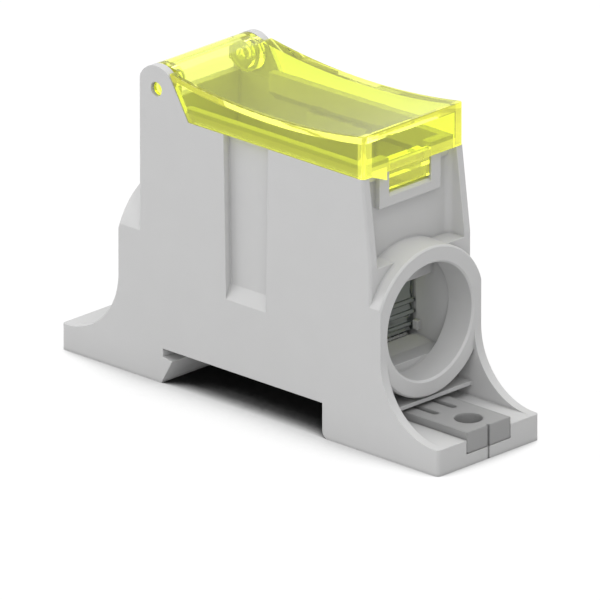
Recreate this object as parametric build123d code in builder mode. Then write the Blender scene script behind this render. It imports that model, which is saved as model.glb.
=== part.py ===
from build123d import *
import math
import os

# Power terminal block for a 35 mm rail: a moulded housing with a cable collar at each end, a
# hinged see-through cover, a sliding rail clip and a contact bar with a screw clamp at each end.
# X runs along the block from the hinge end to the latch end, Y across it, Z up from its feet.
# The origin is the middle of the base. All sizes are in millimetres.

# Envelope and walls
block_length = 84.0
wall = 1.6
foot_height = 4.5
corner_radius = 0.5
foot_corner_radius = 0.6
edge_chamfer = 0.3

# Cable collars, one at each end, clipped flat by the sides of the block
collar_face_x = 29.2
collar_stand = 2.2
collar_z = 20.1
collar_bore = 19.7
collar_wall = 2.9
collar_side_wall = 1.9
collar_depth = 5.5

# Flares that brace the feet, with a pocket between each pair
flare_toe = 0.8
pocket_back = 3.0

# Upper body: ledge over the collars, leaning front, upright rear
ledge_z = 31.3
lean_start = 0.7
front_lean = 7.3
shoulder_z = 46.3
rear_set_back = 2.4
recess_depth = 3.6
recess_corner_radius = 1.2
front_wall = 1.5

# Rim that the cover's skirt sits around
rim_height = 1.9
rim_thickness = 1.5
rim_slope = 1.6
rim_front_gap = 0.15

# Hinge ears
ear_radius = 4.0
ear_thickness = 1.5
ear_reach = 7.1
hinge_rise = 3.95
pin_hole = 2.45
pin_clearance = 0.075

# Grooves down both long sides, wider at the top and ramped out at the foot
groove_x = -0.65
groove_top_width = 10.0
groove_foot_width = 8.9
groove_foot_z = 18.2
groove_depth = 1.2
groove_ramp = 2.4

# Latch pad on the front wall, with the pocket for the cover's tongue
pad_width = 14.2
pad_thickness = 1.2
pad_drop = 6.3
pocket_sill = 2.1
sill_slope = 0.45
tongue_width = 9.4
tongue_side_gap = 0.2
tongue_tip_gap = 0.6
tongue_sink = 0.3
tongue_thickness = 1.2
nub_depth = 3.4
nub_height = 2.7
nub_lift = 1.6

# Cover
skirt_thickness = 1.5
skirt_gap = 0.15
cover_rise = 5.6
cover_low_x = 4.0
cover_sag_radius = 127.0
cover_plate = 1.5
cover_overhang = 0.2
cover_corner_radius = 1.0
cover_edge_radius = 0.2
cover_seat_gap = 0.08
curl_end_angle = 150.0
ear_gap = 0.2
arm_thickness = 1.5
arm_radius = 3.3
arm_heel_drop = 1.85
boss_radius = 2.6
boss_height = 0.8
boss_dimple = 2.0
pin_recess = 0.65
pry_lug_start = 9.7
pry_lug_end = 6.2
pry_lug_drop = 1.4
pry_lug_gap = 0.15

# Rail slot for a 35 mm top-hat rail, with a fixed hook on one side
rail_width = 35.0
rail_play = 0.6
slot_x = -1.45
slot_height = 6.0
hook_gap = 1.4
hook_reach = 2.05
hook_fall = 0.4
hook_lead_in = 0.35
slot_lead_in = 1.3

# Rail clip and its guide through the foot
clip_width = 10.1
clip_bottom_z = 2.2
clip_height = 3.55
clip_top_radius = 0.9
clip_bottom_radius = 0.4
clip_clearance = 0.1
clip_head_width = 11.4
clip_head_length = 2.7
clip_travel = 3.0
clip_nose_reach = 1.9
clip_nose_height = 2.5
spring_slot_width = 1.2
spring_slot_y = 2.05
spring_slot_end = 9.3
spring_slot_length = 12.0
shelf_z = 6.4
shelf_thickness = 0.65
shelf_set_back = 0.5
index_width = 0.5
index_depth = 0.4

# Fixing holes through the feet
fixing_set_back = 4.5
fixing_hole = 4.66

# Cable chambers between the collars and the clamps
floor_z = 8.0
chamber_length = 3.6
chamber_floor_z = 11.65
chamber_step_z = 12.3
chamber_top_z = 29.5
chamber_side_gap = 0.05
partition = 1.5
partition_edge_z = 23.3
partition_edge_radius = 0.5

# Contact bar on its seat
bar_thickness = 3.0
bar_side_gap = 0.1
bar_half_length = 16.3
bar_seat_z = 9.6
bar_chamfer = 0.3
seat_gap = 0.05
seat_end_gap = 0.2
bar_latch_reach = 1.0
bar_latch_height = 1.5
bar_latch_width = 4.0

# Box clamps: a bent yoke round the bar, a pressure block and a socket screw
yoke_near_x = 6.8
yoke_length = 8.2
yoke_strap = 1.5
yoke_side_gap = 0.25
yoke_bridge = 4.7
yoke_bend_radius = 1.4
block_gap = 0.1
block_side_gap = 0.1
block_height = 11.0
apron_thickness = 0.7
apron_side_gap = 0.2
rib_first = 1.15
rib_pitch = 1.95
rib_count = 3
rib_radius = 0.45
steady_lug = 1.0
steady_lug_rise = 1.2
steady_lug_height = 1.5
tooth_count = 4
tooth_depth = 0.5
clamp_travel = 9.0
travel_gap = 0.5
screw_diameter = 10.0
screw_clearance = 0.08
screw_rise = 0.6
socket_size = 5.0
socket_depth = 5.0
screw_chamfer = 0.8
tip_diameter = 5.0
tip_clearance = 0.1
ring_pocket = 9.4
ring_pocket_depth = 4.4
ring_diameter = 8.4
ring_thickness = 1.0
ring_groove = 0.3
ring_play = 0.1
ring_opening = 3.2

# Places worked out from the sizes above
half_length = block_length / 2
half_width = collar_bore / 2 + collar_side_wall
inner_y = half_width - wall
body_x = collar_face_x - collar_stand
rear_x = rear_set_back - body_x
rear_inner_x = rear_x + wall
recess_x = body_x - recess_depth
front_inner_x = recess_x - front_wall
collar_radius = collar_bore / 2 + collar_wall
bore_end_x = collar_face_x - collar_depth
flare_radius = half_length - collar_face_x - flare_toe
flare_top_z = foot_height + flare_radius
flare_foot_x = collar_face_x + flare_radius
pocket_back_x = body_x - pocket_back
lean_z = ledge_z + lean_start
shoulder_front_x = body_x - (shoulder_z - lean_z) * math.tan(math.radians(front_lean))
rim_z = shoulder_z + rim_height
rim_y = half_width - skirt_thickness - skirt_gap
rim_inner_y = rim_y - rim_thickness
rim_slope_z = shoulder_z - wall - rim_slope
hinge_x = rear_x + ear_radius
hinge_z = shoulder_z + hinge_rise
ear_inner_y = half_width - ear_thickness
ear_foot_x = hinge_x + ear_reach
rim_back_x = ear_foot_x - wall
cover_z = shoulder_z + cover_seat_gap
cover_low_z = shoulder_z + cover_rise
cover_front_x = shoulder_front_x + cover_overhang
rim_front_x = cover_front_x - skirt_thickness - rim_front_gap
arm_outer_y = ear_inner_y - ear_gap
arm_inner_y = arm_outer_y - arm_thickness
pin_radius = pin_hole / 2 - pin_clearance
pad_x = recess_x + pad_thickness
pad_z = shoulder_z - pad_drop
sill_z = pad_z + pocket_sill
tongue_z = sill_z + tongue_tip_gap
tongue_x = pad_x - tongue_sink
notch_width = tongue_width + 2 * tongue_side_gap
fixing_x = half_length - fixing_set_back
slot_left_x = slot_x - (rail_width + rail_play) / 2
slot_right_x = slot_x + (rail_width + rail_play) / 2
hook_z = slot_height - hook_gap
clip_top_z = clip_bottom_z + clip_height
clip_back_x = slot_right_x + clip_clearance
guide_z = clip_bottom_z - clip_clearance
guide_top_z = clip_top_z + clip_clearance
guide_width = clip_width + 2 * clip_clearance
head_guide_width = clip_head_width + 2 * clip_clearance
head_guide_x = clip_back_x + clip_head_length + clip_travel + clip_clearance
shelf_face_x = collar_face_x - shelf_set_back
spring_slot_end_x = half_length - spring_slot_end
chamber_y = collar_bore / 2 + chamber_side_gap
partition_outer_x = bore_end_x - chamber_length
partition_inner_x = partition_outer_x - partition
clamp_pocket_x = bar_half_length + seat_end_gap
seat_half_length = yoke_near_x - seat_end_gap
bar_z = bar_seat_z + seat_gap
bar_top_z = bar_z + bar_thickness
yoke_far_x = yoke_near_x + yoke_length
yoke_x = yoke_near_x + yoke_length / 2
yoke_outer_y = inner_y - yoke_side_gap
yoke_inner_y = yoke_outer_y - yoke_strap
yoke_z = bar_z - seat_gap - yoke_strap
bar_half_width = yoke_inner_y - bar_side_gap
block_z = bar_top_z + block_gap
block_top_z = block_z + block_height
bridge_z = block_top_z + clamp_travel + travel_gap
yoke_top_z = bridge_z + yoke_bridge
screw_top_z = yoke_top_z + screw_rise
apron_face_x = bar_half_length - rib_radius
ring_z = block_z + ring_pocket_depth - ring_play - ring_thickness
tip_z = ring_z - ring_thickness / 2

# The cover's hollow top runs into a curl about the hinge axis
sag_z = cover_low_z + cover_sag_radius
curl_radius = math.hypot(cover_low_x - hinge_x, sag_z - hinge_z) - cover_sag_radius
curl_start_angle = math.degrees(math.atan2(sag_z - hinge_z, cover_low_x - hinge_x))
heel_x = hinge_x + curl_radius * math.cos(math.radians(curl_end_angle))
heel_top_z = hinge_z + curl_radius * math.sin(math.radians(curl_end_angle))

# The ear's straight front edge leaves its round top at this angle about the hinge axis
ear_edge_angle = math.degrees(
    math.acos(ear_radius / math.hypot(ear_reach, hinge_rise)) - math.atan2(hinge_rise, ear_reach)
)


def ear_edge_x(z):
    """Where the ear's straight front edge stands at height z."""
    lean = math.tan(math.radians(ear_edge_angle))
    return ear_foot_x - (z - shoulder_z) * lean


def cover_top(x, radius=cover_sag_radius):
    """Height of the cover's hollow top at x, or of its underside for the larger radius."""
    return sag_z - math.sqrt(radius**2 - (x - cover_low_x) ** 2)


# Cutter for a side groove
with BuildPart() as groove:
    with BuildSketch(Plane.XZ.offset(half_width - groove_depth)):
        Polygon(
            (groove_x - groove_top_width / 2, shoulder_z + wall),
            (groove_x + groove_top_width / 2, shoulder_z + wall),
            (groove_x + groove_foot_width / 2, groove_foot_z),
            (groove_x - groove_foot_width / 2, groove_foot_z),
            align=None,
        )
    extrude(amount=2 * groove_depth)
    with BuildSketch(Plane.YZ.offset(groove_x)):
        Polygon(
            (groove_depth - half_width, shoulder_z + 2 * wall),
            (groove_depth - half_width, groove_foot_z + groove_ramp),
            (-half_width, groove_foot_z),
            (-half_width - 2 * groove_depth, groove_foot_z),
            (-half_width - 2 * groove_depth, shoulder_z + 2 * wall),
            align=None,
        )
    extrude(amount=groove_top_width, both=True, mode=Mode.INTERSECT)

# Hinge ears, whose backs follow the body's rounded upright corners
with BuildPart() as ears:
    for side in (1, -1):
        with BuildSketch(Plane.XZ.offset(side * ear_inner_y)):
            with BuildLine():
                ear_top = CenterArc(
                    (hinge_x, hinge_z), ear_radius, ear_edge_angle, 180 - ear_edge_angle
                )
                Polyline(
                    ear_top @ 1, (rear_x, shoulder_z), (ear_foot_x, shoulder_z), ear_top @ 0
                )
            make_face()
        extrude(amount=side * ear_thickness)
    with BuildSketch(Plane.XY.offset(shoulder_z)):
        with Locations(((rear_x + ear_foot_x) / 2, 0)):
            plan = Rectangle(ear_foot_x - rear_x, 2 * half_width)
        fillet(plan.vertices().sort_by(Axis.X)[:2], corner_radius)
    extrude(amount=hinge_rise + ear_radius, mode=Mode.INTERSECT)

# Housing
with BuildPart() as housing:
    # Side outline of feet, flares, end faces and leaning front, given the full width
    with BuildSketch(Plane.XZ):
        with BuildLine():
            Polyline(
                (-flare_foot_x, foot_height),
                (-half_length, foot_height),
                (-half_length, 0),
                (half_length, 0),
                (half_length, foot_height),
                (flare_foot_x, foot_height),
            )
            CenterArc((flare_foot_x, flare_top_z), flare_radius, 270, -90)
            Polyline(
                (collar_face_x, flare_top_z),
                (body_x, flare_top_z),
                (body_x, lean_z),
                (shoulder_front_x, shoulder_z),
                (rear_x, shoulder_z),
                (rear_x, flare_top_z),
                (-collar_face_x, flare_top_z),
            )
            CenterArc((-flare_foot_x, flare_top_z), flare_radius, 0, -90)
        make_face()
    extrude(amount=half_width, both=True)

    # Rounded upright corners of the feet and of the body
    upright = housing.edges().filter_by(Axis.Z)
    fillet(upright.filter_by_position(Axis.Z, 0, foot_height), foot_corner_radius)
    steep = housing.edges().filter_by(lambda e: abs(e.tangent_at(0.5).Z) > 0.9)
    fillet(steep.filter_by(lambda e: e.center().Z > flare_top_z), corner_radius)

    # Hinge ears, standing on the side walls
    add(ears.part)

    # Pockets between the flares, over both feet
    with BuildSketch(Plane.XY.offset(foot_height)):
        for side in (1, -1):
            with Locations((side * (pocket_back_x + flare_foot_x) / 2, 0)):
                Rectangle(flare_foot_x - pocket_back_x, 2 * inner_y)
    extrude(amount=flare_radius, mode=Mode.SUBTRACT)

    # Recess in the leaning front, between two cheeks
    with BuildSketch(Plane.XY.offset(ledge_z)):
        with Locations((recess_x + recess_depth, 0)):
            outline = Rectangle(2 * recess_depth, 2 * inner_y)
        fillet(outline.vertices().sort_by(Axis.X)[:2], recess_corner_radius)
    extrude(amount=shoulder_z - ledge_z, mode=Mode.SUBTRACT)

    # Collars round the cable entries, clipped flat by the sides
    for side, start_x in ((1, recess_x), (-1, -rear_inner_x)):
        with BuildSketch(Plane.YZ.offset(side * start_x)):
            with Locations((0, collar_z)):
                Circle(collar_radius)
                Rectangle(2 * half_width, 2 * collar_radius, mode=Mode.INTERSECT)
        extrude(amount=side * (collar_face_x - start_x))

    # Shelf over the rail clip
    with BuildSketch(Plane.XY.offset(shelf_z)):
        with Locations(((pocket_back_x - wall + shelf_face_x) / 2, 0)):
            Rectangle(shelf_face_x - pocket_back_x + wall, 2 * inner_y)
    extrude(amount=shelf_thickness)

    # Latch pad, and the rim that the cover fits over
    with BuildSketch(Plane.XY.offset(pad_z)):
        with Locations(((front_inner_x + pad_x) / 2, 0)):
            Rectangle(pad_x - front_inner_x, pad_width)
    extrude(amount=shoulder_z - pad_z)
    with BuildSketch(Plane.XY.offset(shoulder_z - wall)):
        with Locations(((rim_back_x + rim_front_x) / 2, 0)):
            Rectangle(rim_front_x - rim_back_x, 2 * rim_y)
    extrude(amount=wall + rim_height)

    # Upper well, narrower inside the rim and full width at the hinge end
    with BuildSketch(Plane.YZ.offset(rim_back_x)):
        with BuildLine():
            Polyline(
                (0, ledge_z),
                (inner_y, ledge_z),
                (inner_y, rim_slope_z),
                (rim_inner_y, rim_slope_z + rim_slope),
                (rim_inner_y, rim_z),
                (0, rim_z),
            )
            mirror(about=Plane.YZ)
        make_face()
    extrude(amount=front_inner_x - rim_back_x, mode=Mode.SUBTRACT)
    with BuildSketch(Plane.XY.offset(ledge_z)):
        with Locations(((rear_inner_x + rim_back_x) / 2, 0)):
            Rectangle(rim_back_x - rear_inner_x, 2 * inner_y)
    extrude(amount=rim_z - ledge_z, mode=Mode.SUBTRACT)

    # Clamp pockets, with the contact bar's seat between them
    with BuildSketch(Plane.XZ):
        with BuildLine():
            Polyline(
                (0, ledge_z),
                (partition_inner_x, ledge_z),
                (partition_inner_x, partition_edge_z),
                (clamp_pocket_x, partition_edge_z),
                (clamp_pocket_x, floor_z),
                (seat_half_length, floor_z),
                (seat_half_length, bar_seat_z),
                (0, bar_seat_z),
            )
            mirror(about=Plane.YZ)
        make_face()
    extrude(amount=inner_y, both=True, mode=Mode.SUBTRACT)

    # Cable chambers behind the collars, each under a partition with a rounded lower edge
    for side in (1, -1):
        with BuildSketch(Plane.XZ):
            profile = Polygon(
                (side * clamp_pocket_x, chamber_step_z),
                (side * partition_outer_x, chamber_floor_z),
                (side * bore_end_x, chamber_floor_z),
                (side * bore_end_x, chamber_top_z),
                (side * partition_outer_x, chamber_top_z),
                (side * partition_outer_x, partition_edge_z),
                (side * partition_inner_x, partition_edge_z),
                (side * partition_inner_x, partition_edge_z + partition),
                (side * clamp_pocket_x, partition_edge_z + partition),
                align=None,
            )
            lip = profile.vertices().filter_by(lambda v: abs(v.Y - partition_edge_z) < 0.01)
            fillet(lip, partition_edge_radius)
        extrude(amount=chamber_y, both=True, mode=Mode.SUBTRACT)
        with BuildSketch(Plane.YZ.offset(side * collar_face_x)):
            with Locations((0, collar_z)):
                Circle(collar_bore / 2)
        extrude(amount=-side * (collar_depth + edge_chamfer), mode=Mode.SUBTRACT)

    # Lugs beside the chamber floors, in line with the ends of the bar
    with BuildSketch(Plane.XY.offset(bar_top_z + steady_lug_rise - steady_lug_height / 2)):
        for side in (1, -1):
            with Locations(
                (side * (clamp_pocket_x + steady_lug / 2), inner_y - steady_lug / 2),
                (side * (clamp_pocket_x + steady_lug / 2), steady_lug / 2 - inner_y),
            ):
                Rectangle(steady_lug, steady_lug)
    extrude(amount=steady_lug_height)

    # Pilasters behind the side grooves, and the small latches that hold the bar down
    with BuildSketch(Plane.XY.offset(bar_seat_z)):
        for side in (1, -1):
            with Locations((0, side * (inner_y - groove_depth / 2))):
                Rectangle(2 * seat_half_length, groove_depth)
    extrude(amount=rim_slope_z - bar_seat_z)
    with BuildSketch(Plane.YZ.offset(groove_x)):
        for side in (1, -1):
            Polygon(
                (side * (inner_y - groove_depth), bar_top_z + seat_gap),
                (side * (bar_half_width - bar_latch_reach), bar_top_z + seat_gap),
                (side * (inner_y - groove_depth), bar_top_z + seat_gap + bar_latch_height),
                align=None,
            )
    extrude(amount=bar_latch_width / 2, both=True)

    # Side grooves
    add(groove.part, mode=Mode.SUBTRACT)
    add(mirror(groove.part, about=Plane.XZ, mode=Mode.PRIVATE), mode=Mode.SUBTRACT)

    # Rail slot: fixed hook at the hinge end, rounded lead-in at the clip end
    with BuildSketch(Plane.XZ):
        with BuildLine():
            Polyline(
                (slot_right_x + slot_lead_in, 0),
                (slot_right_x + slot_lead_in, -wall),
                (slot_left_x - hook_lead_in, -wall),
                (slot_left_x - hook_lead_in, 0),
                (slot_left_x + hook_reach, hook_z - hook_fall),
                (slot_left_x, hook_z),
                (slot_left_x, slot_height),
                (slot_right_x, slot_height),
                (slot_right_x, slot_lead_in),
            )
            CenterArc((slot_right_x + slot_lead_in, slot_lead_in), slot_lead_in, 180, 90)
        make_face()
    extrude(amount=half_width, both=True, mode=Mode.SUBTRACT)

    # Guide for the rail clip, open on top over the foot and wide for the clip's head
    with BuildSketch(Plane.XY.offset(guide_z)):
        with Locations(((slot_right_x + half_length) / 2, 0)):
            Rectangle(half_length - slot_right_x, guide_width)
        with Locations(((slot_right_x + head_guide_x) / 2, 0)):
            Rectangle(head_guide_x - slot_right_x, head_guide_width)
    extrude(amount=guide_top_z - guide_z, mode=Mode.SUBTRACT)

    # Latch notch with a sloped sill, fixing holes, hinge holes and the index nick in the foot
    with BuildSketch(Plane.XZ):
        Polygon(
            (front_inner_x - wall, rim_z),
            (front_inner_x - wall, sill_z),
            (pad_x - sill_slope, sill_z),
            (pad_x + wall, sill_z - sill_slope - wall),
            (pad_x + wall, rim_z),
            align=None,
        )
    extrude(amount=notch_width / 2, both=True, mode=Mode.SUBTRACT)
    with Locations((-fixing_x, 0, foot_height), (fixing_x, 0, foot_height)):
        Hole(fixing_hole / 2)
    with BuildSketch(Plane.XZ):
        with Locations((hinge_x, hinge_z)):
            Circle(pin_hole / 2)
    extrude(amount=half_width, both=True, mode=Mode.SUBTRACT)
    with BuildSketch(Plane.XY):
        with Locations((half_length, 0)):
            Rectangle(2 * index_depth, index_width)
    extrude(amount=foot_height, mode=Mode.SUBTRACT)

    # Softened edges of the collars
    rims = housing.edges().filter_by(GeomType.CIRCLE)
    rims = rims.filter_by(lambda e: abs(abs(e.center().X) - collar_face_x) < 0.01)
    chamfer(rims, edge_chamfer)
housing.part.label = "housing"

# Cover: hollow-topped cap with skirts, hinge arms with pins, and a latch tongue
with BuildPart() as cover:
    under_radius = cover_sag_radius + cover_plate
    with BuildSketch(Plane.XZ):
        with BuildLine():
            front = Line((cover_front_x, cover_z), (cover_front_x, cover_top(cover_front_x)))
            back_x = ear_edge_x(cover_top(hinge_x + ear_radius)) + ear_gap
            ThreePointArc(
                front @ 1, (cover_low_x, cover_low_z), (back_x, cover_top(back_x))
            )
            Polyline(
                (back_x, cover_top(back_x)),
                (ear_edge_x(cover_z) + ear_gap, cover_z),
                front @ 0,
            )
        make_face()
    extrude(amount=half_width, both=True)
    front_corners = cover.edges().filter_by(
        lambda e: e.center().X > cover_low_x and abs(e.tangent_at(0.5).Z) > 0.9
    )
    fillet(front_corners, cover_corner_radius)
    top_edges = cover.edges().filter_by_position(Axis.Z, cover_low_z, hinge_z + ear_radius)
    fillet(top_edges, cover_edge_radius)

    # Hollow underside
    with BuildSketch(Plane.XZ):
        with BuildLine():
            inner_front_x = cover_front_x - skirt_thickness
            front = Line(
                (inner_front_x, cover_z), (inner_front_x, cover_top(inner_front_x, under_radius))
            )
            ThreePointArc(
                front @ 1,
                (cover_low_x, cover_low_z - cover_plate),
                (hinge_x, cover_top(hinge_x, under_radius)),
            )
            Polyline(
                (hinge_x, cover_top(hinge_x, under_radius)), (hinge_x, cover_z), front @ 0
            )
        make_face()
    extrude(amount=ear_inner_y, both=True, mode=Mode.SUBTRACT)

    # Plate between the ears, curled down round the hinge axis at its back
    with BuildSketch(Plane.XZ):
        with BuildLine():
            curl_sweep = curl_end_angle - curl_start_angle
            outer = CenterArc((hinge_x, hinge_z), curl_radius, curl_start_angle, curl_sweep)
            inner = CenterArc(
                (hinge_x, hinge_z), curl_radius - cover_plate, curl_start_angle, curl_sweep
            )
            Line(outer @ 1, inner @ 1)
            root_x = back_x + skirt_thickness
            mid_x = (hinge_x + root_x) / 2
            ThreePointArc((root_x, cover_top(root_x)), (mid_x, cover_top(mid_x)), outer @ 0)
            ThreePointArc(
                (root_x, cover_top(root_x, under_radius)),
                (mid_x, cover_top(mid_x, under_radius)),
                inner @ 0,
            )
            Line(
                (root_x, cover_top(root_x)), (root_x, cover_top(root_x, under_radius))
            )
        make_face()
    extrude(amount=arm_outer_y, both=True)

    # Hinge arms with a square heel, each with a pin outside and a dimpled boss inside
    for side in (1, -1):
        with BuildSketch(Plane.XZ.offset(side * arm_inner_y)):
            with Locations((hinge_x, hinge_z)):
                Circle(arm_radius)
            Polygon(
                (hinge_x, hinge_z),
                (heel_x, heel_top_z),
                (heel_x, hinge_z - arm_heel_drop),
                (hinge_x, hinge_z - arm_heel_drop),
                align=None,
            )
        extrude(amount=side * arm_thickness)
        with BuildSketch(Plane.XZ.offset(side * arm_inner_y)):
            with Locations((hinge_x, hinge_z)):
                Circle(boss_radius)
        extrude(amount=-side * boss_height)
        with BuildSketch(Plane.XZ.offset(side * arm_outer_y)):
            with Locations((hinge_x, hinge_z)):
                Circle(pin_radius)
        extrude(amount=side * (half_width - pin_recess - arm_outer_y))
        with BuildSketch(Plane.XZ.offset(side * (arm_inner_y - boss_height))):
            with Locations((hinge_x, hinge_z)):
                Circle(boss_dimple / 2)
        extrude(amount=side * (boss_height + arm_thickness / 2), mode=Mode.SUBTRACT)

    # Latch tongue and the nub behind it
    with BuildSketch(Plane.XZ):
        Polygon(
            (tongue_x, tongue_z),
            (tongue_x, cover_z + tongue_thickness),
            (tongue_x - tongue_thickness, cover_z + tongue_thickness),
            (tongue_x - tongue_thickness, tongue_z),
            align=None,
        )
        Polygon(
            (tongue_x, tongue_z + nub_lift),
            (tongue_x, tongue_z + nub_lift + nub_height),
            (tongue_x - nub_depth, tongue_z + nub_lift + nub_height),
            (tongue_x - nub_depth, tongue_z + nub_lift),
            align=None,
        )
    extrude(amount=tongue_width / 2, both=True)

    # Pry lug that slopes down from the front skirt beside the tongue
    with BuildSketch(Plane.YZ.offset(pad_x + pry_lug_gap)):
        Polygon(
            (-pry_lug_start, cover_z + skirt_thickness),
            (-pry_lug_start, cover_z),
            (-pry_lug_end, cover_z - pry_lug_drop),
            (-pry_lug_end, cover_z + skirt_thickness),
            align=None,
        )
    extrude(amount=cover_front_x - pad_x - pry_lug_gap)
cover.part.label = "cover"

# Rail clip: slides in the foot, with a nose that hooks the rail and two sprung side legs
with BuildPart() as rail_clip:
    with BuildSketch(Plane.YZ.offset(clip_back_x)):
        with Locations((0, clip_bottom_z + clip_height / 2)):
            section = Rectangle(clip_width, clip_height)
        section_corners = section.vertices().sort_by(Axis.Y)
        fillet(section_corners[:2], clip_bottom_radius)
        fillet(section_corners[2:], clip_top_radius)
    extrude(amount=half_length - clip_back_x)
    with BuildSketch(Plane.XY.offset(clip_bottom_z)):
        with Locations((clip_back_x + clip_head_length / 2, 0)):
            Rectangle(clip_head_length, clip_head_width)
    extrude(amount=clip_height)
    nose_x = clip_back_x - clip_nose_reach
    with BuildSketch(Plane.XZ):
        Polygon(
            (clip_back_x, clip_bottom_z),
            (nose_x, clip_bottom_z + clip_nose_height - 2 * hook_fall),
            (nose_x, clip_bottom_z + clip_nose_height - hook_fall),
            (clip_back_x, clip_bottom_z + clip_nose_height),
            align=None,
        )
    extrude(amount=clip_width / 2, both=True)
    with BuildSketch(Plane.XY.offset(clip_bottom_z)):
        for side in (1, -1):
            with Locations((spring_slot_end_x - spring_slot_length / 2, side * spring_slot_y)):
                SlotOverall(spring_slot_length, spring_slot_width)
        with Locations((fixing_x, 0)):
            Circle(fixing_hole / 2)
        with Locations((half_length, 0)):
            Rectangle(2 * index_depth, index_width)
    extrude(amount=clip_height, mode=Mode.SUBTRACT)
rail_clip.part.label = "rail_clip"

# Contact bar
with BuildPart() as contact_bar:
    with BuildSketch(Plane.XY.offset(bar_z)):
        Rectangle(2 * bar_half_length, 2 * bar_half_width)
    extrude(amount=bar_thickness)
    chamfer(contact_bar.edges().filter_by(Axis.Y), bar_chamfer)
contact_bar.part.label = "contact_bar"

# Clamp yoke: strap bent round the bar under a thick tapped bridge
with BuildPart() as clamp_yoke:
    with BuildSketch(Plane.YZ.offset(yoke_near_x)):
        with Locations((0, (yoke_z + yoke_top_z) / 2)):
            frame = Rectangle(2 * yoke_outer_y, yoke_top_z - yoke_z)
        fillet(frame.vertices(), yoke_bend_radius)
        with Locations((0, (yoke_z + yoke_strap + bridge_z) / 2)):
            Rectangle(2 * yoke_inner_y, bridge_z - yoke_z - yoke_strap, mode=Mode.SUBTRACT)
    extrude(amount=yoke_length)
    with Locations((yoke_x, 0, yoke_top_z)):
        Hole(screw_diameter / 2 + screw_clearance, depth=yoke_bridge)

# Pressure block: toothed underneath, with a ribbed apron that closes the cable chamber
with BuildPart() as pressure_block:
    with BuildSketch(Plane.XZ):
        tooth_pitch = yoke_length / tooth_count
        with BuildLine():
            outline = [(yoke_near_x, block_top_z), (yoke_near_x, block_z + tooth_depth)]
            for tooth in range(tooth_count):
                tooth_x = yoke_near_x + tooth * tooth_pitch
                outline.append((tooth_x + tooth_pitch / 2, block_z))
                outline.append((tooth_x + tooth_pitch, block_z + tooth_depth))
            outline.append((yoke_far_x, block_top_z))
            Polyline(*outline, close=True)
        make_face()
    extrude(amount=yoke_inner_y - block_side_gap, both=True)
    with BuildSketch(Plane.XZ):
        with Locations((apron_face_x - apron_thickness / 2, block_z + block_height / 2)):
            Rectangle(apron_thickness, block_height)
        for rib in range(rib_count):
            with Locations((apron_face_x, block_z + rib_first + rib * rib_pitch)):
                Circle(rib_radius)
    extrude(amount=inner_y - apron_side_gap, both=True)
    with BuildSketch(Plane.XZ):
        with Locations(((yoke_far_x + apron_face_x) / 2, (block_z + tooth_depth + block_top_z) / 2)):
            Rectangle(apron_face_x - yoke_far_x, block_height - tooth_depth)
    extrude(amount=yoke_inner_y - block_side_gap, both=True)
    with Locations((yoke_x, 0, block_top_z)):
        Hole(tip_diameter / 2 + tip_clearance, depth=block_height)
    with BuildSketch(Plane.XY.offset(block_z)):
        with Locations((yoke_x, 0)):
            Circle(ring_pocket / 2)
    extrude(amount=ring_pocket_depth, mode=Mode.SUBTRACT)

# Clamp screw: socket set screw whose tip turns in the pressure block
with BuildPart() as clamp_screw:
    with BuildSketch(Plane.XZ):
        groove_radius = tip_diameter / 2 - ring_groove
        Polygon(
            (yoke_x, tip_z),
            (yoke_x + tip_diameter / 2, tip_z),
            (yoke_x + tip_diameter / 2, ring_z),
            (yoke_x + groove_radius, ring_z),
            (yoke_x + groove_radius, ring_z + ring_thickness),
            (yoke_x + tip_diameter / 2, ring_z + ring_thickness),
            (yoke_x + tip_diameter / 2, block_top_z + seat_gap),
            (yoke_x + screw_diameter / 2, block_top_z + seat_gap),
            (yoke_x + screw_diameter / 2, screw_top_z - screw_chamfer),
            (yoke_x + screw_diameter / 2 - screw_chamfer, screw_top_z),
            (yoke_x, screw_top_z),
            align=None,
        )
    revolve(axis=Axis((yoke_x, 0, 0), (0, 0, 1)))
    with BuildSketch(Plane.XY.offset(screw_top_z)):
        with Locations((yoke_x, 0)):
            RegularPolygon(socket_size / 2, 6, major_radius=False)
    extrude(amount=-socket_depth, mode=Mode.SUBTRACT)

# Retaining ring that ties the block to the screw's tip
with BuildPart() as screw_ring:
    with BuildSketch(Plane.XY.offset(ring_z)):
        with Locations((yoke_x, 0)):
            Circle(ring_diameter / 2)
            Circle(tip_diameter / 2 - ring_groove, mode=Mode.SUBTRACT)
        with Locations((yoke_x + ring_diameter / 2, 0)):
            Rectangle(ring_diameter, ring_opening, mode=Mode.SUBTRACT)
    extrude(amount=ring_thickness)

os.makedirs("parts", exist_ok=True)
export_step(housing.part, "parts/housing.step")
export_step(cover.part, "parts/cover.step")
export_step(rail_clip.part, "parts/rail_clip.step")
export_step(contact_bar.part, "parts/contact_bar.step")

# Both clamps are the same pieces, mirrored about the middle of the bar
for piece, name in (
    (clamp_yoke, "clamp_yoke"),
    (pressure_block, "pressure_block"),
    (clamp_screw, "clamp_screw"),
    (screw_ring, "screw_ring"),
):
    piece.part.label = f"{name}_front"
    export_step(piece.part, f"parts/{name}_front.step")
    with BuildPart() as twin:
        mirror(piece.part, about=Plane.YZ)
    twin.part.label = f"{name}_rear"
    export_step(twin.part, f"parts/{name}_rear.step")
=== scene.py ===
"""Studio scene of a rail-mounted power terminal block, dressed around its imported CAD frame."""

import logging
import math
from collections.abc import Callable
from dataclasses import dataclass
from enum import Enum
from functools import partial, reduce

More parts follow.
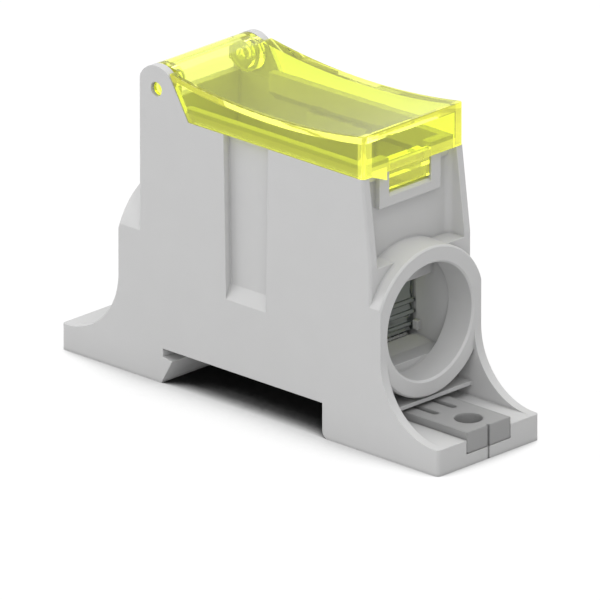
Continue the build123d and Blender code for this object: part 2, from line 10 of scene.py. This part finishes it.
import bpy
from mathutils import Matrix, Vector


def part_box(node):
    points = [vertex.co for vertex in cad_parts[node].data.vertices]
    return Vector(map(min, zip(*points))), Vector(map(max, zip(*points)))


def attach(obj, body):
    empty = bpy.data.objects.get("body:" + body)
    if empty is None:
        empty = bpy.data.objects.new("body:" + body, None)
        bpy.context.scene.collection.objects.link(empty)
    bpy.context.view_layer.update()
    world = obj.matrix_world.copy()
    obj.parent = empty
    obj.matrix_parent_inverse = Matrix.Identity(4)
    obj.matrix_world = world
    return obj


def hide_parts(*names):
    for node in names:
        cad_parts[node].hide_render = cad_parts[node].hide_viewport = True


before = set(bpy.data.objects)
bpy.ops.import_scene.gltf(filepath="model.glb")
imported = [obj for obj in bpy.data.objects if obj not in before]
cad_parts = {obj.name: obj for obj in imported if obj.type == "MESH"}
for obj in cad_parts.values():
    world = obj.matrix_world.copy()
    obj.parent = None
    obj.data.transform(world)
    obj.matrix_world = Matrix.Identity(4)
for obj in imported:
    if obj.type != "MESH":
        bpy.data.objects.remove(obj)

LOG = logging.getLogger("terminal_block")
MM = 0.001

UNIT = (0.0, 1.0)

Colour = tuple[float, float, float]
Span = tuple[float, float]
Stretch = tuple[float, float, float]
Socket = bpy.types.NodeSocket


def srgb(red: int, green: int, blue: int) -> Colour:
    """Turns a display colour into the linear colour that shaders take.

    Args:
        red: Red from 0 to 255.
        green: Green from 0 to 255.
        blue: Blue from 0 to 255.

    Returns:
        The three linear values from 0 to 1.
    """

    def linear(value: int) -> float:
        """Returns one linear channel by the sRGB standard's curve."""
        share = value / 255
        return share / 12.92 if share <= 0.04045 else ((share + 0.055) / 1.055) ** 2.4

    return linear(red), linear(green), linear(blue)


class Relief(Enum):
    """How fine the skin of a moulded surface is, in cells to a metre."""

    SPARK_ERODED = 900.0
    POLISHED = 250.0


class Marks(Enum):
    """Which way the drawing marks run on a metal, as a stretch of its grain."""

    ALONG_X = (40.0, 400.0, 400.0)
    ALONG_Z = (400.0, 400.0, 40.0)


class Graph:
    """A node tree, with short calls to add and join nodes."""

    def __init__(self, holder: bpy.types.ID, output: str = "ShaderNodeOutputMaterial") -> None:
        """Empties the node tree of a material or world.

        Args:
            holder: The material or world.
            output: Blender's identifier of its output node.
        """
        holder.use_nodes = True
        self.tree = holder.node_tree
        self.tree.nodes.clear()
        self.output = self.add(output)

    def add(self, kind: str, **inputs: object) -> bpy.types.Node:
        """Adds a node and sets its inputs.

        Args:
            kind: Blender's identifier of the node type.
            inputs: Values by input name, with underscores for spaces.

        Returns:
            The new node.
        """
        node = self.tree.nodes.new(kind)
        for name, value in inputs.items():
            node.inputs[name.replace("_", " ")].default_value = value
        return node

    def join(self, source: Socket, target: Socket) -> None:
        """Links one socket to another."""
        self.tree.links.new(source, target)

    def plug(self, value: Socket | Colour | float, target: Socket) -> None:
        """Links a socket to an input, or sets the input where it is given a plain value.

        Args:
            value: Socket to read, a colour or a number.
            target: The input.
        """
        if isinstance(value, bpy.types.NodeSocket):
            self.join(value, target)
        elif isinstance(value, tuple):
            target.default_value = (*value, 1)
        else:
            target.default_value = value

    def math(self, operation: str, *values: Socket | float) -> Socket:
        """Adds a Math node.

        Args:
            operation: Blender's name of the operation.
            values: Sockets to read or plain numbers, in order.

        Returns:
            The socket with the result.
        """
        node = self.add("ShaderNodeMath")
        node.operation = operation
        for value, target in zip(values, node.inputs):
            self.plug(value, target)
        return node.outputs["Value"]

    def blend(
        self, kind: str, share: Socket | float, first: Socket | Colour, second: Socket | Colour
    ) -> Socket:
        """Mixes two colours.

        Args:
            kind: Blender's name of the blend, such as "MIX" or "MULTIPLY".
            share: How much of the blend is taken, from 0 to 1.
            first: The colour underneath.
            second: The colour on top.

        Returns:
            The socket with the mixed colour.
        """
        node = self.add("ShaderNodeMix")
        node.data_type = "RGBA"
        node.blend_type = kind
        self.plug(share, node.inputs["Factor"])
        self.plug(first, node.inputs["A"])
        self.plug(second, node.inputs["B"])
        return node.outputs["Result"]

    def remap(
        self, value: Socket, source: Span = UNIT, target: Span = UNIT, smooth: bool = False
    ) -> Socket:
        """Maps one span of values on another and holds the result inside it.

        Args:
            value: Socket to read.
            source: Values at the two ends of the span that is read.
            target: Values that they become.
            smooth: Whether the change eases in and out.

        Returns:
            The socket with the result.
        """
        node = self.add(
            "ShaderNodeMapRange",
            From_Min=source[0],
            From_Max=source[1],
            To_Min=target[0],
            To_Max=target[1],
        )
        if smooth:
            node.interpolation_type = "SMOOTHSTEP"
        self.join(value, node.inputs["Value"])
        return node.outputs["Result"]

    def noise(self, scale: float, detail: float, stretch: Stretch | None = None) -> Socket:
        """Adds a noise pattern on Object coordinates.

        Args:
            scale: Cells in a metre, or in a unit of the stretched coordinates.
            detail: Octaves of the noise.
            stretch: Scale of the coordinates along X, Y and Z, if they are stretched.

        Returns:
            The socket with the noise's value.
        """
        place = self.add("ShaderNodeTexCoord").outputs["Object"]
        if stretch is not None:
            mapping = self.add("ShaderNodeMapping", Scale=stretch)
            self.join(place, mapping.inputs["Vector"])
            place = mapping.outputs["Vector"]
        pattern = self.add("ShaderNodeTexNoise", Scale=scale, Detail=detail)
        self.join(place, pattern.inputs["Vector"])
        return pattern.outputs["Fac"]

    def rounded(self, radius: float) -> Socket:
        """Returns the normal of a surface whose sharp edges look rounded to a radius."""
        return self.add("ShaderNodeBevel", Radius=radius).outputs["Normal"]

    def bump(self, height: Socket, depth: float, normal: Socket | None = None) -> Socket:
        """Turns a height into a normal.

        Args:
            height: Socket with the height from 0 to 1.
            depth: Height of the relief in metres.
            normal: The normal under the relief, where it isn't the surface's own.

        Returns:
            The socket with the normal.
        """
        node = self.add("ShaderNodeBump", Strength=1.0, Distance=depth)
        self.join(height, node.inputs["Height"])
        if normal is not None:
            self.join(normal, node.inputs["Normal"])
        return node.outputs["Normal"]

    def openness(self, reach: float, samples: int) -> Socket:
        """Measures how open the surroundings are.

        Args:
            reach: How far away a surface still counts, in metres.
            samples: Rays that are tried.

        Returns:
            The socket with 1 in the open and 0 where all is closed in.
        """
        node = self.add("ShaderNodeAmbientOcclusion", Distance=reach)
        node.samples = samples
        return node.outputs["AO"]

    def seen_directly(self) -> Socket:
        """Returns 1 for rays from the camera, a reflection or a see-through surface."""
        path = self.add("ShaderNodeLightPath").outputs
        mirrored = self.math("MAXIMUM", path["Is Camera Ray"], path["Is Glossy Ray"])
        return self.math("MAXIMUM", mirrored, path["Is Transmission Ray"])


@dataclass(frozen=True)
class PaintedHollowShade:
    """Painted shade: how much darker a surface's colour is made where others stand close to it.
    """

    reach: float
    depth: float


@dataclass(frozen=True)
class MouldedPlastic:
    """Opaque moulded plastic with a fine spark-eroded skin, painted highlights on its sharp edges
    and painted shade in its hollows.
    """

    name: str
    colour: Colour
    variation: float = 0.02
    roughness: float = 0.5
    specular: float = 0.35
    relief: Relief = Relief.SPARK_ERODED
    relief_depth: float = 0.004 * MM
    grains_per_cell: float = 10.0
    cells_per_blotch: float = 6.0
    edge: float = 0.2 * MM
    painted_edge_highlight: float = 0.3
    edge_turn: Span = (0.99, 0.8)
    painted_hollow_shades: tuple[PaintedHollowShade, ...] = (PaintedHollowShade(6.0 * MM, 0.12), PaintedHollowShade(0.7 * MM, 0.4))
    painted_shade_samples: int = 8

    def material(self) -> bpy.types.Material:
        """Builds the material.

        Returns:
            The new material.
        """
        material = bpy.data.materials.new(self.name)
        graph = Graph(material)
        shader = graph.add(
            "ShaderNodeBsdfPrincipled", Roughness=self.roughness, Specular_IOR_Level=self.specular
        )
        blotches = graph.noise(self.relief.value / self.cells_per_blotch, 3.0)
        darker, paler = self.tone(1 - self.variation), self.tone(1 + self.variation)
        tint = graph.blend("MIX", blotches, darker, paler)
        # Painted highlight: the sharp edges are made paler.
        edge_highlighted = graph.blend("MIX", self.edge_mask(graph), tint, self.tone(1 + self.painted_edge_highlight))
        # Painted shade: the colour is darkened where other surfaces stand close.
        shaded = graph.blend("MULTIPLY", 1.0, edge_highlighted, self.shade(graph))
        graph.join(shaded, shader.inputs["Base Color"])
        grain = graph.noise(self.relief.value * self.grains_per_cell, 2.0)
        normal = graph.bump(grain, self.relief_depth, graph.rounded(self.edge))
        graph.join(normal, shader.inputs["Normal"])
        graph.join(shader.outputs["BSDF"], graph.output.inputs["Surface"])
        return material

    def tone(self, share: float) -> Colour:
        """Returns the plastic's colour made darker or paler by a factor."""
        red, green, blue = (min(1.0, channel * share) for channel in self.colour)
        return red, green, blue

    def shade(self, graph: Graph) -> Socket:
        """Paints shade into the colour: hollows a little darker and the foot of each corner more.

        Args:
            graph: The material's node tree.

        Returns:
            The socket with the share of colour that stays.
        """
        kept = [
            graph.math(
                "MULTIPLY_ADD",
                graph.openness(shade_band.reach, self.painted_shade_samples),
                shade_band.depth,
                1 - shade_band.depth,
            )
            for shade_band in self.painted_hollow_shades
        ]
        return reduce(partial(graph.math, "MULTIPLY"), kept)

    def edge_mask(self, graph: Graph) -> Socket:
        """Marks the sharp edges that get the painted highlight, where the rounded normal leaves
        the true one.

        Args:
            graph: The material's node tree.

        Returns:
            The socket with 1 on an edge and 0 away from it.
        """
        true = graph.add("ShaderNodeNewGeometry")
        agree = graph.add("ShaderNodeVectorMath")
        agree.operation = "DOT_PRODUCT"
        graph.join(graph.rounded(self.edge), agree.inputs[0])
        graph.join(true.outputs["Normal"], agree.inputs[1])
        return graph.remap(agree.outputs["Value"], self.edge_turn)


@dataclass(frozen=True)
class ClearPlastic:
    """Polished see-through plastic with a faint ripple from its mould and a painted glow along
    its edges.
    """

    name: str
    colour: Colour
    transmission: float = 1.0
    roughness: float = 0.02
    roughness_span: Span = (0.5, 2.0)
    ior: float = 1.5
    ripple: Relief = Relief.POLISHED
    ripple_depth: float = 0.01 * MM
    glow: Colour = (1.0, 0.98, 0.12)
    glow_strength: float = 0.06
    corner_glow: float = 0.35
    top_glow: float = 0.2
    foot_glow: float = 0.26
    lip_glow: float = 0.07
    lug_glow: float = 0.6
    tongue_glow: float = 0.15
    skin: float = 0.05 * MM
    corner_radius: float = 1.2 * MM
    corner_band: float = 2.05 * MM
    top_band: float = 1.2 * MM
    foot_band: float = 1.6 * MM
    foot_z: float = 46.38 * MM
    low_x: float = 4.0 * MM
    low_z: float = 51.9 * MM
    sag_radius: float = 127.0 * MM
    lug_y: float = -7.95 * MM
    lug_half: float = 1.75 * MM
    lug_rise: float = 0.9 * MM
    tongue_y: float = 6.0 * MM

    def material(self) -> bpy.types.Material:
        """Builds the material.

        Returns:
            The new material.
        """
        material = bpy.data.materials.new(self.name)
        graph = Graph(material)
        shader = graph.add(
            "ShaderNodeBsdfPrincipled",
            IOR=self.ior,
            Transmission_Weight=self.transmission,
            Base_Color=(*self.colour, 1),
            Emission_Color=(*self.glow, 1),
        )
        # Painted light: the cover glows along its edges and at a few spots, though it is no lamp.
        graph.join(self.painted_edge_glow(graph), shader.inputs["Emission Strength"])
        low, high = (self.roughness * share for share in self.roughness_span)
        haze = graph.remap(graph.noise(self.ripple.value, 2.0), UNIT, (low, high))
        graph.join(haze, shader.inputs["Roughness"])
        normal = graph.bump(graph.noise(self.ripple.value, 0.0), self.ripple_depth)
        graph.join(normal, shader.inputs["Normal"])
        graph.join(shader.outputs["BSDF"], graph.output.inputs["Surface"])
        return material

    def painted_edge_glow(self, graph: Graph) -> Socket:
        """Paints a glow along the cover's outer edges and at its foot, lug and tongue, with a
        faint glow everywhere.

        Args:
            graph: The material's node tree.

        Returns:
            The socket with the strength of the glow.
        """
        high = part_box("cover")[1]
        place = graph.add("ShaderNodeTexCoord")
        spot = graph.add("ShaderNodeSeparateXYZ")
        graph.join(place.outputs["Object"], spot.inputs["Vector"])
        along, across, up = (spot.outputs[axis] for axis in "XYZ")
        aside = graph.math("ABSOLUTE", across)

        # The top sags along a circle, whose rise from its lowest point is x squared / 2 r.
        run = graph.math("POWER", graph.math("SUBTRACT", along, self.low_x), 2)
        top = graph.math("MULTIPLY_ADD", run, 0.5 / self.sag_radius, self.low_z - self.top_band)

        front = graph.math("GREATER_THAN", along, high[0] - self.skin)
        turning = graph.math("GREATER_THAN", along, high[0] - self.corner_radius)
        side = graph.math("GREATER_THAN", aside, high[1] - self.skin)
        corner = graph.math("GREATER_THAN", aside, high[1] - self.corner_band)
        upper = graph.math("GREATER_THAN", up, top)
        foot = graph.math("LESS_THAN", up, self.foot_z + self.foot_band)
        lug = graph.math(
            "MULTIPLY",
            graph.math("LESS_THAN", up, self.foot_z + self.lug_rise),
            graph.math("COMPARE", across, self.lug_y, self.lug_half),
        )
        tongue = graph.math(
            "MULTIPLY",
            graph.math("LESS_THAN", up, self.foot_z),
            graph.math("LESS_THAN", aside, self.tongue_y),
        )
        glow: Socket | float = 0.0
        for first, second, strength in (
            (corner, turning, self.corner_glow),
            (front, foot, self.foot_glow),
            (front, upper, self.top_glow),
            (side, upper, self.top_glow),
            (side, foot, self.lip_glow),
            (front, lug, self.lug_glow),
            (turning, tongue, self.tongue_glow),
        ):
            band = graph.math("MULTIPLY", graph.math("MULTIPLY", first, second), strength)
            glow = graph.math("MAXIMUM", band, glow)
        return graph.math("ADD", glow, self.glow_strength)


@dataclass(frozen=True)
class PlatedMetal:
    """Metal with a plated skin and faint drawing marks, and a wavy face if it was pressed."""

    name: str
    colour: Colour
    roughness: float = 0.3
    roughness_span: Span = (0.7, 1.4)
    marks: Marks = Marks.ALONG_X
    marks_depth: float = 0.003 * MM
    edge: float = 0.15 * MM
    wave: float = 0.0
    wave_stretch: Stretch = (700.0, 40.0, 700.0)

    def material(self) -> bpy.types.Material:
        """Builds the material.

        Returns:
            The new material.
        """
        material = bpy.data.materials.new(self.name)
        graph = Graph(material)
        shader = graph.add("ShaderNodeBsdfPrincipled", Metallic=1.0, Base_Color=(*self.colour, 1))
        grain = graph.noise(8.0, 4.0, self.marks.value)
        low, high = (self.roughness * share for share in self.roughness_span)
        graph.join(graph.remap(grain, UNIT, (low, high)), shader.inputs["Roughness"])
        normal = graph.bump(grain, self.marks_depth, graph.rounded(self.edge))
        if self.wave:
            ridges = graph.noise(1.0, 1.0, self.wave_stretch)
            normal = graph.bump(ridges, self.wave, normal)
        graph.join(normal, shader.inputs["Normal"])
        graph.join(shader.outputs["BSDF"], graph.output.inputs["Surface"])
        return material


HOUSING_GREY = MouldedPlastic("housing_grey", srgb(206, 206, 206))
# The clip's edges get a wider rounding and a weaker painted highlight.
CLIP_GREY = MouldedPlastic("clip_grey", srgb(160, 160, 160), edge=0.7 * MM, painted_edge_highlight=0.12)
COVER_YELLOW = ClearPlastic("cover_yellow", srgb(240, 248, 118))
BAR_TIN = PlatedMetal("bar_tin", srgb(208, 208, 206), roughness=0.25)
YOKE_STEEL = PlatedMetal("yoke_steel", srgb(170, 172, 171), roughness=0.3, marks=Marks.ALONG_Z)
BLOCK_STEEL = PlatedMetal("block_steel", srgb(190, 195, 193), roughness=0.1, wave=0.3 * MM)
SCREW_STEEL = PlatedMetal("screw_steel", srgb(158, 158, 156), roughness=0.28)


def dress(node: str, material: bpy.types.Material) -> None:
    """Gives a CAD node a material in each of its slots.

    Args:
        node: Name of the CAD node.
        material: The material that it gets.
    """
    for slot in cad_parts[node].material_slots:
        slot.material = material
    LOG.info("dressed %s in %s", node, material.name)


class Bench:
    """Short calls for shaping one mesh by hand in edit mode."""

    merge_distance = 0.005 * MM

    def __init__(self, name: str, add: Callable[..., object], **sizes: object) -> None:
        """Adds a primitive and opens it in edit mode.

        Args:
            name: Name of the new piece.
            add: The operator that adds the primitive.
            sizes: What the operator is given.
        """
        bpy.ops.object.select_all(action="DESELECT")
        add(**sizes)
        self.piece = bpy.context.object
        self.piece.name = name
        self.piece.data.name = name
        bpy.ops.object.transform_apply(location=True, rotation=True, scale=True)
        bpy.ops.object.mode_set(mode="EDIT")
        bpy.ops.mesh.select_all(action="DESELECT")

    def pick(self, kind: str, test: Callable[[object], bool]) -> int:
        """Selects the vertices, edges or faces that pass a test, and nothing else.

        Args:
            kind: "VERT", "EDGE" or "FACE".
            test: Takes a mesh element and says whether it is wanted.

        Returns:
            How many were selected.
        """
        bpy.ops.mesh.select_mode(type=kind)
        bpy.ops.mesh.select_all(action="DESELECT")
        bpy.ops.object.mode_set(mode="OBJECT")
        mesh = self.piece.data
        items = {"VERT": mesh.vertices, "EDGE": mesh.edges, "FACE": mesh.polygons}[kind]
        count = 0
        for item in items:
            item.select = test(item)
            count += item.select
        bpy.ops.object.mode_set(mode="EDIT")
        return count

    def ends(self, edge: bpy.types.MeshEdge) -> tuple[Vector, Vector]:
        """Returns where an edge's two ends are."""
        corners = self.piece.data.vertices
        return corners[edge.vertices[0]].co, corners[edge.vertices[1]].co

    def close(self) -> bpy.types.Object:
        """Merges doubles, turns faces outwards and leaves edit mode.

        Returns:
            The shaped piece.
        """
        bpy.ops.mesh.select_all(action="SELECT")
        bpy.ops.mesh.remove_doubles(threshold=self.merge_distance)
        bpy.ops.mesh.normals_make_consistent(inside=False)
        bpy.ops.object.mode_set(mode="OBJECT")
        return self.piece


@dataclass
class Housing:
    """The moulded housing and the clip that slides in its foot."""

    plastic: MouldedPlastic = HOUSING_GREY
    clip_plastic: MouldedPlastic = CLIP_GREY

    def build(self) -> None:
        """Dresses the housing and the clip."""
        dress("housing", self.plastic.material())
        dress("rail_clip", self.clip_plastic.material())


@dataclass
class Cover:
    """The see-through cover with its hinge arms and tongue."""

    plastic: ClearPlastic = COVER_YELLOW

    def build(self) -> None:
        """Dresses the cover."""
        dress("cover", self.plastic.material())


@dataclass
class ClampScrew:
    """A socket set screw with a rolled thread, shaped once and copied to both clamps."""

    steel: PlatedMetal = SCREW_STEEL
    segments: int = 40
    rows_per_turn: int = 10
    pitch: float = 1.5 * MM
    thread_depth: float = 0.75 * MM
    thread_skin: float = 0.02 * MM
    tip_length: float = 3.0 * MM
    tip_share: float = 0.5
    end_share: float = 0.92
    end_skin: float = 0.01 * MM
    socket: float = 5.0 * MM
    socket_depth: float = 5.0 * MM
    drill_inset: float = 0.4
    drill_point: float = 0.125
    facing_down: float = -0.9
    lead: float = 0.9 * MM
    crease: float = 40.0

    def shape(self, node: str) -> bpy.types.Object:
        """Shapes the screw in the place of a CAD node.

        Args:
            node: Name of the CAD screw that it stands for.

        Returns:
            The finished screw.
        """
        low, high = (Vector(corner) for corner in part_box(node))
        middle = (low + high) / 2
        radius = (high.x - low.x) / 2 - self.thread_skin
        height = high.z - low.z - 2 * self.thread_skin
        bench = Bench(
            "threaded_screw",
            bpy.ops.mesh.primitive_cylinder_add,
            vertices=self.segments,
            radius=radius,
            depth=height,
            location=middle,
        )
        rows = round(height / self.pitch * self.rows_per_turn)

        def is_upright(edge: bpy.types.MeshEdge) -> bool:
            """Says whether an edge runs up the screw."""
            start, end = bench.ends(edge)
            return abs(start.z - end.z) > height / 2

        bench.pick("EDGE", is_upright)
        bpy.ops.mesh.subdivide(number_cuts=rows - 1)
        self.cut_thread(bench, middle, low.z + self.thread_skin, radius, height)
        screw = bench.close()
        self.cut_socket(screw, middle, high.z)
        bpy.ops.object.shade_smooth_by_angle(angle=math.radians(self.crease))
        return screw

    def cut_thread(
        self, bench: Bench, middle: Vector, foot: float, radius: float, height: float
    ) -> None:
        """Draws each step of the thread's turn in towards the axis.

        Args:
            bench: The screw in edit mode.
            middle: The screw's middle.
            foot: Height of its lower end.
            radius: Its outer radius.
            height: Its height.
        """
        steps = self.rows_per_turn * 2
        for step in range(steps):
            share = step / steps
            depth = self.thread_depth * (1 - abs(2 * share - 1))

            def on_step(corner: bpy.types.MeshVertex, step: int = step) -> bool:
                """Says whether a corner is at this step of the thread's turn."""
                rise = corner.co.z - foot
                if not self.tip_length < rise < height - self.lead:
                    return False
                turn = math.atan2(corner.co.y - middle.y, corner.co.x - middle.x) / math.tau
                return round((rise / self.pitch - turn) * steps) % steps == step

            if bench.pick("VERT", on_step) and depth > 0:
                squeeze = 1 - depth / radius
                bpy.ops.transform.resize(value=(squeeze, squeeze, 1), center_override=middle)
        top = height - self.end_skin
        self.turn_down(
            bench, middle, radius, lambda rise: rise < self.tip_length, foot, self.tip_share
        )
        self.turn_down(bench, middle, radius, lambda rise: rise > top, foot, self.end_share)

    def turn_down(
        self,
        bench: Bench,
        middle: Vector,
        radius: float,
        reach: Callable[[float], bool],
        foot: float,
        share: float,
    ) -> None:
        """Turns part of the screw down to a share of its radius.

        Args:
            bench: The screw in edit mode.
            middle: The screw's middle.
            radius: Its outer radius.
            reach: Takes a height over the foot and says whether it is turned down.
            foot: Height of the screw's lower end.
            share: What is left of the radius.
        """

        def in_reach(corner: bpy.types.MeshVertex) -> bool:
            """Says whether a corner is turned down."""
            out = math.hypot(corner.co.x - middle.x, corner.co.y - middle.y)
            return reach(corner.co.z - foot) and out > radius * share

        bench.pick("VERT", in_reach)
        bpy.ops.transform.resize(value=(share, share, 1), center_override=middle)

    def cut_socket(self, screw: bpy.types.Object, middle: Vector, top: float) -> None:
        """Cuts the hexagon socket.

        Args:
            screw: The threaded screw.
            middle: The screw's middle.
            top: Height of its upper end.
        """
        bench = Bench(
            "hexagon",
            bpy.ops.mesh.primitive_cylinder_add,
            vertices=6,
            radius=self.socket / math.sqrt(3),
            depth=2 * self.socket_depth,
            location=(middle.x, middle.y, top),
        )
        bench.pick("FACE", lambda face: face.normal.z < self.facing_down)
        bpy.ops.mesh.inset(thickness=self.drill_inset * self.socket)
        bpy.ops.transform.translate(value=(0, 0, -self.drill_point * self.socket))
        hexagon = bench.close()
        bpy.ops.object.select_all(action="DESELECT")
        screw.select_set(True)
        bpy.context.view_layer.objects.active = screw
        cut = screw.modifiers.new("socket", "BOOLEAN")
        cut.operation = "DIFFERENCE"
        cut.solver = "EXACT"
        cut.object = hexagon
        bpy.ops.object.modifier_apply(modifier=cut.name)
        bpy.data.objects.remove(hexagon, do_unlink=True)

    def fit(self, screw: bpy.types.Object, end: str) -> None:
        """Puts a finished screw in a clamp's place on its body.

        Args:
            screw: The finished screw.
            end: Which clamp it belongs to.
        """
        screw.name = f"threaded_screw_{end}"
        screw.data.name = screw.name
        screw.data.materials.clear()
        screw.data.materials.append(self.steel.material())
        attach(screw, f"screw_{end}")
        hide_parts(f"clamp_screw_{end}")
        LOG.info("shaped %s, %d faces", screw.name, len(screw.data.polygons))

    def build(self) -> None:
        """Shapes the front screw and copies it to the rear clamp."""
        front = self.shape("clamp_screw_front")
        rear = front.copy()
        rear.data = front.data.copy()
        bpy.context.scene.collection.objects.link(rear)
        shift = Vector(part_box("clamp_screw_rear")[0]) - Vector(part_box("clamp_screw_front")[0])
        for corner in rear.data.vertices:
            corner.co += shift
        self.fit(front, "front")
        self.fit(rear, "rear")


@dataclass
class Clamps:
    """The contact bar and the two screw clamps on it."""

    bar: PlatedMetal = BAR_TIN
    yoke: PlatedMetal = YOKE_STEEL
    block: PlatedMetal = BLOCK_STEEL
    ring: PlatedMetal = SCREW_STEEL
    ends: tuple[str, str] = ("front", "rear")

    def build(self) -> None:
        """Dresses the bar and both clamps, and shapes their screws."""
        yoke = self.yoke.material()
        block = self.block.material()
        ring = self.ring.material()
        dress("contact_bar", self.bar.material())
        for end in self.ends:
            dress(f"clamp_yoke_{end}", yoke)
            dress(f"pressure_block_{end}", block)
            dress(f"screw_ring_{end}", ring)
        ClampScrew().build()


@dataclass(frozen=True)
class Lamp:
    """A round soft lamp aimed at the block."""

    name: str
    azimuth: float
    elevation: float
    power: float
    size: float = 0.6
    distance: float = 0.8


@dataclass
class Studio:
    """Floor, backdrop, lamps and camera."""

    azimuth: float = 43.754
    elevation: float = 20.638
    lens: float = 1500.0
    sensor_width: float = 36.0
    clip: Span = (0.1, 100.0)
    distance_per_lens: float = 0.00268496
    aim_height: float = 16.2 * MM
    aim_aside: float = 0.11 * MM
    floor_size: float = 40.0
    floor_white: float = 0.6
    shown_white: float = 0.15
    floor_glow: float = 0.87
    shade_reach: float = 0.02
    shade_samples: int = 16
    shade_span: Span = (0.24, 0.72)
    shade_floor: float = 0.12
    ambient: float = 0.33
    lamps: tuple[Lamp, ...] = (
        Lamp("left", -60.0, 20.0, 2.35),
        Lamp("front", 44.0, 30.0, 2.2, 0.85),
        Lamp("top", 20.0, 85.0, 4.6, 1.2),
        Lamp("back", 180.0, 50.0, 2.0, 1.0),
    )

    def direction(self, azimuth: float, elevation: float) -> Vector:
        """Points from the block to a place on a sphere around it.

        Args:
            azimuth: Degrees from the -Y side towards +X.
            elevation: Degrees above the floor.

        Returns:
            The unit vector.
        """
        turn, rise = math.radians(azimuth), math.radians(elevation)
        flat = math.cos(rise)
        return Vector((math.sin(turn) * flat, -math.cos(turn) * flat, math.sin(rise)))

    def place(
        self, name: str, data: bpy.types.ID, back: Vector, distance: float
    ) -> bpy.types.Object:
        """Puts a lamp or camera round the block and turns it to face the aim.

        Args:
            name: Name of the new object.
            data: The lamp's or camera's data.
            back: Unit vector from the aim to the object.
            distance: How far away it stands.

        Returns:
            The new object.
        """
        thing = bpy.data.objects.new(name, data)
        bpy.context.scene.collection.objects.link(thing)
        turn = math.radians(self.azimuth)
        right = Vector((math.cos(turn), math.sin(turn), 0))
        aim = Vector((0, 0, self.aim_height)) + right * self.aim_aside
        thing.location = aim + back * distance
        thing.rotation_euler = (-back).to_track_quat("-Z", "Y").to_euler()
        return thing

    def camera(self) -> None:
        """Makes the camera at the photograph's angle."""
        data = bpy.data.cameras.new("camera")
        data.lens = self.lens
        data.sensor_width = self.sensor_width
        data.clip_start, data.clip_end = self.clip
        back = self.direction(self.azimuth, self.elevation)
        camera = self.place("camera", data, back, self.lens * self.distance_per_lens)
        bpy.context.scene.camera = camera

    def lights(self) -> None:
        """Makes the soft lamps."""
        for lamp in self.lamps:
            data = bpy.data.lights.new(lamp.name, "AREA")
            data.shape = "DISK"
            data.size = lamp.size
            data.energy = lamp.power
            back = self.direction(lamp.azimuth, lamp.elevation)
            self.place(lamp.name, data, back, lamp.distance)

    def painted_contact_shadow(self, graph: Graph) -> Socket:
        """Paints a contact shadow on the floor where the block stands close over it.

        Args:
            graph: The floor's node tree.

        Returns:
            The socket with 1 on open floor and 0 under the block.
        """
        near = graph.openness(self.shade_reach, self.shade_samples)
        return graph.remap(near, self.shade_span, smooth=True)

    def floor(self) -> None:
        """Makes the floor, which shows white, keeps the block's real shadow from the lamps and
        has a painted contact shadow under the block.
        """
        bpy.ops.object.select_all(action="DESELECT")
        bpy.ops.mesh.primitive_plane_add(size=self.floor_size)
        floor = bpy.context.object
        floor.name = "floor"
        material = bpy.data.materials.new("floor_white")
        graph = Graph(material)
        white = self.floor_white
        matt = graph.add("ShaderNodeBsdfDiffuse", Color=(white, white, white, 1))
        shaded = graph.add("ShaderNodeBsdfDiffuse")
        glow = graph.add("ShaderNodeEmission")
        # Painted shadow: the floor's glow and shown colour are darkened under the block.
        shade = self.painted_contact_shadow(graph)
        graph.join(graph.math("MULTIPLY", shade, self.floor_glow), glow.inputs["Strength"])
        shown = self.shown_white
        tone = graph.remap(shade, UNIT, (self.shade_floor * shown, shown))
        graph.join(tone, shaded.inputs["Color"])
        both = graph.add("ShaderNodeAddShader")
        graph.join(shaded.outputs["BSDF"], both.inputs[0])
        graph.join(glow.outputs["Emission"], both.inputs[1])
        mix = graph.add("ShaderNodeMixShader")
        graph.join(graph.seen_directly(), mix.inputs["Fac"])
        graph.join(matt.outputs["BSDF"], mix.inputs[1])
        graph.join(both.outputs["Shader"], mix.inputs[2])
        graph.join(mix.outputs["Shader"], graph.output.inputs["Surface"])
        floor.data.materials.append(material)

    def backdrop(self) -> None:
        """Makes a world that shows white and lights gently."""
        world = bpy.data.worlds.new("studio")
        bpy.context.scene.world = world
        graph = Graph(world, "ShaderNodeOutputWorld")
        glow = graph.add("ShaderNodeBackground")
        strength = graph.remap(graph.seen_directly(), UNIT, (self.ambient, 1.0))
        graph.join(strength, glow.inputs["Strength"])
        graph.join(glow.outputs["Background"], graph.output.inputs["Surface"])

    def build(self) -> None:
        """Builds the whole studio."""
        bpy.context.scene.view_settings.view_transform = "Standard"
        self.camera()
        self.lights()
        self.floor()
        self.backdrop()


def main() -> None:
    """Builds the block and its studio."""
    logging.basicConfig(level=logging.INFO, format="%(message)s")
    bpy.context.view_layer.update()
    Housing().build()
    Cover().build()
    Clamps().build()
    Studio().build()


if __name__ == "__main__":
    main()
